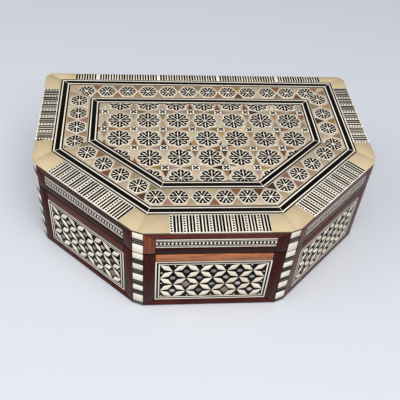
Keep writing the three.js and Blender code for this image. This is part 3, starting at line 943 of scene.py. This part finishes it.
def case_mosaics():
    """Three strings round a black field of stars between bone rhombi, in each window of the case."""
    for number, side in enumerate(SIDES):
        plane, _ = wall_plane(f"case_{side}_frame")
        left, right, low, high = window_of(side)
        work = Marquetry(201 + number)
        frames = [rectangles(left + s, right - s, low + s, high - s)[0] for s in (0.0, 0.8, 1.75, 2.5)]
        for sort, outer, inner in zip(("bone_line", "ebony_line", "bone_line"), frames[:-1], frames[1:]):
            for i in range(4):
                after = (i + 1) % 4
                line = np.array([[outer[i], outer[after], inner[after], inner[i]]])
                work.lay(sort, line, grain=QUARTER[i])
        field = frames[-1]
        work.lay("field", field[None])
        work.window = field
        size = field[2] - field[0]
        cells = [max(4, round(span / cell)) for span, cell in zip(size, (7.2, 5.75))]
        rhombi(work, field[0], cells, size / cells)
        star_middles(work, field[0], cells, size / cells, field.mean(axis=0))
        work.solid(f"{side}_case_mosaic", plane, "case", [f"case_{side}_mosaic"])


def lid_walls():
    """Rosewood round the lid: mitred at the top corners, with a strip let in between two rails."""
    margin = 0.06
    for number, side in enumerate(SIDES):
        node = f"lid_{side}_rail"
        plane, length = wall_plane(node)
        left, right, _, _ = window_of(side)
        low = BACK_BEVEL["lid"] if side == "back" else LID_BOTTOM + SLIT
        top = LID_SIDE_TOP
        strip_low, strip_high = LID_BOTTOM + 5.1, top - 3.8
        work = Marquetry(301 + number)
        lay_members(work, side, {
            "lid_stile_first": ([(0, low), (left, low), (left, strip_high), (0, top)], UPRIGHT),
            "lid_stile_last": ([(right, low), (length, low), (length, top), (right, strip_high)], UPRIGHT),
            "top_rail": ([(left, strip_high), (right, strip_high), (length, top), (0, top)], 0.0),
            "lower_rail": ([(left, low), (right, low), (right, strip_low), (left, strip_low)], 0.0),
        })
        work.lay("strip_ground", rectangles(left, right, strip_low, strip_high))
        work.solid(f"{side}_lid_frame", plane, "lid", [node])
        checker_strip(side, plane, left + margin, right - margin, strip_low + margin, strip_high - margin,
                      401 + number)


def checker_strip(side, plane, left, right, low, high, seed):
    """A lid strip: bone, ebony and bone strings on each side of a row of bone and ebony squares."""
    work = Marquetry(seed)
    lines = low + np.array([0, 0.12, 0.22, 0.28, 0.37, 0.63, 0.72, 0.78, 0.88, 1.0]) * (high - low)
    sorts = ("bone", "ebony", "bone", "ebony", None, "ebony", "bone", "ebony", "bone")
    for sort, start, end in zip(sorts, lines[:-1], lines[1:]):
        if sort:
            work.lay(f"strip_{sort}", rectangles(left, right, start, end))
    number = 2 * int((right - left) / 2.0) + 1
    ends = left + (right - left) * np.arange(number + 1) / number
    row = rectangles(ends[:-1], ends[1:], lines[4], lines[5])
    work.lay("bone_square", row[::2])
    work.lay("ebony_square", row[1::2])
    work.solid(f"{side}_lid_strip", plane, "lid")


def corner_posts():
    """Bone blocks stacked up each corner, parted by packets of three ebony leaves with grey between."""
    packet, foot, gap = 4.2, 3.0, 0.16
    depths = np.array([7.5, 23.6, 32.7, 41.8, 50.9])
    leaves = {"ebony_leaf": ((0.0, 0.8), (1.7, 2.5), (3.4, 4.2)), "grey_leaf": ((0.8, 1.7), (2.5, 3.4))}
    for number, corner in enumerate(CORNERS):
        for body, low, high in (("case", SKIN_BOTTOM, RIM - SLIT), ("lid", LID_BOTTOM + SLIT, LID_SIDE_TOP)):
            node = f"{body}_{corner}_post"
            plane, length = wall_plane(node)
            if "back" in corner:
                low = BACK_BEVEL["lid"] if body == "lid" else low
                high = BACK_BEVEL["case"] if body == "case" else high
            work = Marquetry(501 + 10 * number + (body == "lid"))
            work.lay("post_ground", rectangles(0.0, length, low, high))
            work.window = rectangles(gap, length - gap, low, high)[0]
            middles = LID_TOP - depths + np.random.default_rng(number).uniform(-0.4, 0.4, len(depths))
            tops = np.concatenate([[LID_TOP], middles - packet / 2])
            bottoms = np.concatenate([middles + packet / 2, [SKIN_BOTTOM + foot]])
            work.lay("post_block", rectangles(0.0, length, bottoms, tops), grain=UPRIGHT)
            for sort, spans in leaves.items():
                for start, end in spans:
                    grey = None
                    if sort == "grey_leaf":
                        grey = GREY_WOOD * work.chance.uniform(0.5, 1.6, (len(depths), 1))
                    lowest = middles - packet / 2
                    work.lay(sort, rectangles(0.0, length, lowest + start, lowest + end), grey)
            work.window = None
            if body == "case":
                work.lay("foot_block", rectangles(gap, length - gap, low, low + foot), grain=UPRIGHT)
            work.solid(f"{corner}_{body}_post", plane, body, [node])


case_frames()
case_mosaics()
lid_walls()
corner_posts()


# ---- Velvet ----
def ring_surface(name, rings, body, node, cap_first, cap_last, fill=None):
    """A closed skin through rings of points: capped with two middle points or, without them, joined up."""
    rings = np.asarray(rings)
    count, around = rings.shape[:2]
    number = np.arange(count * around).reshape(count, around)
    if cap_first is None:
        number = np.vstack([number, number[:1]])
    a, b = number[:-1], number[1:]
    quads = np.stack([a, np.roll(a, -1, axis=1), np.roll(b, -1, axis=1), b], axis=-1).reshape(-1, 4)
    places, faces, sizes = [rings.reshape(-1, 3)], [quads.ravel()], [np.full(len(quads), 4)]
    if cap_first is not None:
        first, last = count * around, count * around + 1
        places.append(np.array([cap_first, cap_last]))
        start = np.stack([np.roll(number[0], -1), number[0], np.full(around, first)], axis=-1)
        end = np.stack([number[-1], np.roll(number[-1], -1), np.full(around, last)], axis=-1)
        faces += [start.ravel(), end.ravel()]
        sizes += [np.full(2 * around, 3)]
    mesh = mesh_of(name, np.concatenate(places) * MM, np.concatenate(faces), np.concatenate(sizes))
    mesh.polygons.foreach_set("use_smooth", np.ones(len(mesh.polygons), bool))
    made = piece(name, mesh, body, [VELVET], [node])
    return made


def walk(corners, steps):
    """Points along a closed outline, evenly spaced on each side."""
    share = np.arange(steps)[None, :, None] / steps
    return (corners[:, None] + share * (np.roll(corners, -1, axis=0) - corners)[:, None]).reshape(-1, 2)


VELVET = velvet_finish()
STEPS = 30  # points on each side of a velvet edge


def velvet_ring(reaches, height, middle, share=1.0):
    """One ring of the velvet: the room's outline, scaled about the middle by a share, at a height."""
    points = middle + share * (walk(outline_at(reaches), STEPS) - middle)
    return np.column_stack([points, np.full(len(points), height)])


def floor_pad():
    """A card covered in velvet: a quarter circle for an edge, and a low crown in the middle.

    The crown's height goes by one less the fourth power of the share of the way to the edge.
    """
    reaches = reach("case_floor_pad") - 0.1
    low, high = span("case_floor_pad")
    middle = outline_at(reaches).mean(axis=0)
    edge, crown = 0.8, 0.35
    rings = [velvet_ring(reaches, low, middle, share) for share in (0.5, 0.99)]
    rings += [velvet_ring(reaches - edge * (1 - math.cos(a)), low + (high - low) * math.sin(a), middle)
              for a in np.linspace(0, math.pi / 2, 6)]
    rings += [velvet_ring(reaches - edge, high + crown * (1 - share ** 4), middle, share)
              for share in np.linspace(0.97, 0.05, 24)]
    ends = (*middle, low), (*middle, high + crown)
    ring_surface("floor_velvet", rings, "case", "case_floor_pad", *ends, fill=1.0)


def wall_velvet():
    """Velvet round the inside of the walls: flat, with a half circle over its top edge."""
    outer = reach("case_wall_lining")
    low, high = span("case_wall_lining")
    thick, middle = 0.9, np.zeros(2)
    roll = np.linspace(0, math.pi, 9)
    profile = [(0.0, low), (0.0, high - thick / 2)]
    profile += [(thick / 2 * (1 - math.cos(a)), high - thick / 2 + thick / 2 * math.sin(a)) for a in roll[1:]]
    profile += [(thick, z) for z in np.linspace(high - thick, low + 0.3, 14)] + [(thick, low)]
    rings = [velvet_ring(outer - depth, z, middle) for depth, z in reversed(profile)]
    ring_surface("wall_velvet", rings, "case", "case_wall_lining", None, None)


def lid_velvet():
    """A padded tray of velvet in the lid: walls with a half circle for an edge, and a swelling ceiling.

    The ceiling hangs lowest in the middle, by one less the fifth power of the share of the way to the walls.
    """
    outer = reach("lid_lining")
    low, high = span("lid_lining")
    thick, swell = 0.9, 1.1
    middle = outline_at(outer).mean(axis=0)
    rings = [velvet_ring(outer - thick, high - thick - swell * (1 - share ** 5), middle, share)
             for share in np.linspace(0.05, 0.985, 26)]
    rings += [velvet_ring(outer - thick, z, middle) for z in np.linspace(high - thick, low + thick / 2, 6)]
    half = thick / 2
    rings += [velvet_ring(outer - half - half * math.cos(a), low + half - half * math.sin(a), middle)
              for a in np.linspace(0, math.pi, 9)[1:]]
    rings += [velvet_ring(outer, high, middle, share) for share in (1.0, 0.5)]
    ring_surface("lid_velvet", rings, "lid", "lid_lining", (*middle, high - thick - swell), (*middle, high),
                 fill=0.8)


floor_pad()
wall_velvet()
lid_velvet()


# ---- Boards, felt and hinges keep their frame shapes ----
def finish_nodes():
    """Beech boards with the grain along each side, green baize below, and brass hinges with their screws."""
    for i, side in enumerate(SIDES):
        board = carcass_finish(f"{side}_board_wood", BEECH, TURN[i])
        for body in ("case", "lid"):
            dress(f"{body}_{side}_board", board)
    flat = carcass_finish("flat_board_wood", BEECH, 0.0)
    dress("base_board", flat)
    dress("lid_top_board", flat)
    dress("base_felt", felt_finish())
    brass = brass_finish()
    for hand in ("left", "right"):
        for part in ("case_leaf", "lid_leaf", "pin"):
            dress(f"{hand}_hinge_{part}", brass)
        hinge_screws(hand, brass)


def dress(node, finish):
    """Gives a frame node its finish."""
    slots = NODES[node].data.materials
    slots.clear()
    slots.append(finish)


def hinge_screws(hand, brass):
    """Two slotted screws in each leaf.

    A square grid is drawn to a disc: x becomes x times the root of one less half y squared, and y likewise.
    The disc is domed, less by the square of the distance from its middle, and its middle rows are sunk.
    """
    radius, dome, sunk, foot_depth, inset, apart = 1.15, 0.10, 0.16, 0.4, 1.9, 7.6
    leaf_low, leaf_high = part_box(f"{hand}_hinge_case_leaf")
    middle_x = (leaf_low.x + leaf_high.x) / 2 / MM
    row_y = leaf_low.y / MM + inset
    lines = np.array([-1, -0.8, -0.55, -0.3, -0.15, -0.13, 0.13, 0.15, 0.3, 0.55, 0.8, 1])
    sx, sy = np.meshgrid(np.linspace(-1, 1, 12), lines, indexing="ij")
    x, y = sx * np.sqrt(1 - sy ** 2 / 2), sy * np.sqrt(1 - sx ** 2 / 2)
    height = dome * (1 - 0.8 * (x ** 2 + y ** 2)) - sunk * (np.abs(sy) < 0.14)
    for body, face, out in (("case", RIM, 1), ("lid", LID_BOTTOM, -1)):
        places, loops, sizes = [], [], []
        for spot in (-apart, apart):
            turn = math.radians(25 if spot < 0 else 70)
            plan = (middle_x + spot, row_y) + radius * turned(np.stack([x, y], axis=-1), turn)
            head = np.dstack([plan, face + out * height])
            foot = head.copy()
            foot[..., 2] = face - out * foot_depth
            number = np.arange(x.size).reshape(x.shape) + sum(len(p) for p in places)
            quads = np.stack([number[:-1, :-1], number[1:, :-1], number[1:, 1:], number[:-1, 1:]], axis=-1)
            under = quads[..., ::-1] + x.size
            rim = np.concatenate([number[:, 0], number[-1, 1:], number[-2::-1, -1], number[0, -2:0:-1]])
            next_rim = np.roll(rim, -1)
            wall = np.stack([rim, rim + x.size, next_rim + x.size, next_rim], axis=-1)
            faces = np.concatenate([quads.reshape(-1, 4), under.reshape(-1, 4), wall])
            loops.append(faces.ravel() if out > 0 else faces[:, ::-1].ravel())
            sizes.append(np.full(len(faces), 4))
            places += [head.reshape(-1, 3), foot.reshape(-1, 3)]
        name = f"{hand}_hinge_{body}_screws"
        mesh = mesh_of(name, np.concatenate(places) * MM, np.concatenate(loops), np.concatenate(sizes))
        piece(name, mesh, body, [brass])


finish_nodes()


# ---- Stage ----
def floor():
    """A pale, plain floor."""
    half = 4.0
    corners = np.array([(-half, -half, 0.0), (half, -half, 0.0), (half, half, 0.0), (-half, half, 0.0)])
    mesh = mesh_of("floor", corners, np.arange(4), np.array([4]))
    made = bpy.data.objects.new("floor", mesh)
    bpy.context.scene.collection.objects.link(made)
    r = Recipe("pale_floor")
    mesh.materials.append(r.surface(r.mix(r.patches(3.0, 2), (0.63, 0.65, 0.70), (0.66, 0.68, 0.73)), 0.6))


def soft_box(name, place, target, size, power, colour):
    """A large square light aimed at a point."""
    light = bpy.data.lights.new(name, "AREA")
    light.shape, light.size, light.energy, light.color = "SQUARE", size, power, colour
    lamp = bpy.data.objects.new(name, light)
    lamp.location = place
    lamp.rotation_euler = (Vector(target) - Vector(place)).to_track_quat("-Z", "Y").to_euler()
    bpy.context.scene.collection.objects.link(lamp)


def studio():
    """Even light from a pale sky, a soft key from the front and a weak fill from the left."""
    world = bpy.data.worlds.new("studio")
    world.use_nodes = True
    sky = world.node_tree.nodes["Background"]
    sky.inputs["Color"].default_value = (0.86, 0.89, 0.96, 1.0)
    sky.inputs["Strength"].default_value = 0.32
    bpy.context.scene.world = world
    soft_box("key", (0.15, -0.75, 1.25), (0, -0.05, 0.03), 1.3, 18.0, (1.0, 0.985, 0.96))
    soft_box("fill", (-0.9, -0.3, 0.9), (0, 0, 0.03), 1.0, 4.0, (0.96, 0.98, 1.0))
    bpy.context.scene.view_settings.view_transform = "Standard"
    bpy.context.scene.view_settings.look = "Medium High Contrast"


def camera():
    """Above the front and a little to its left, looking down across the lid."""
    lens = bpy.data.cameras.new("camera")
    heading, downward, tilt = -8.165, 44.984, 5.405  # degrees
    lens.sensor_width, lens.lens = 36.0, 54.95
    made = bpy.data.objects.new("camera", lens)
    turn = Matrix.Rotation(math.radians(heading), 4, "Z")
    pitch = Matrix.Rotation(math.radians(90 - downward), 4, "X")
    roll = Matrix.Rotation(math.radians(tilt), 4, "Z")
    made.matrix_world = Matrix.Translation((-0.0407, -0.2771, 0.2949)) @ turn @ pitch @ roll
    bpy.context.scene.collection.objects.link(made)
    bpy.context.scene.camera = made


floor()
studio()
camera()
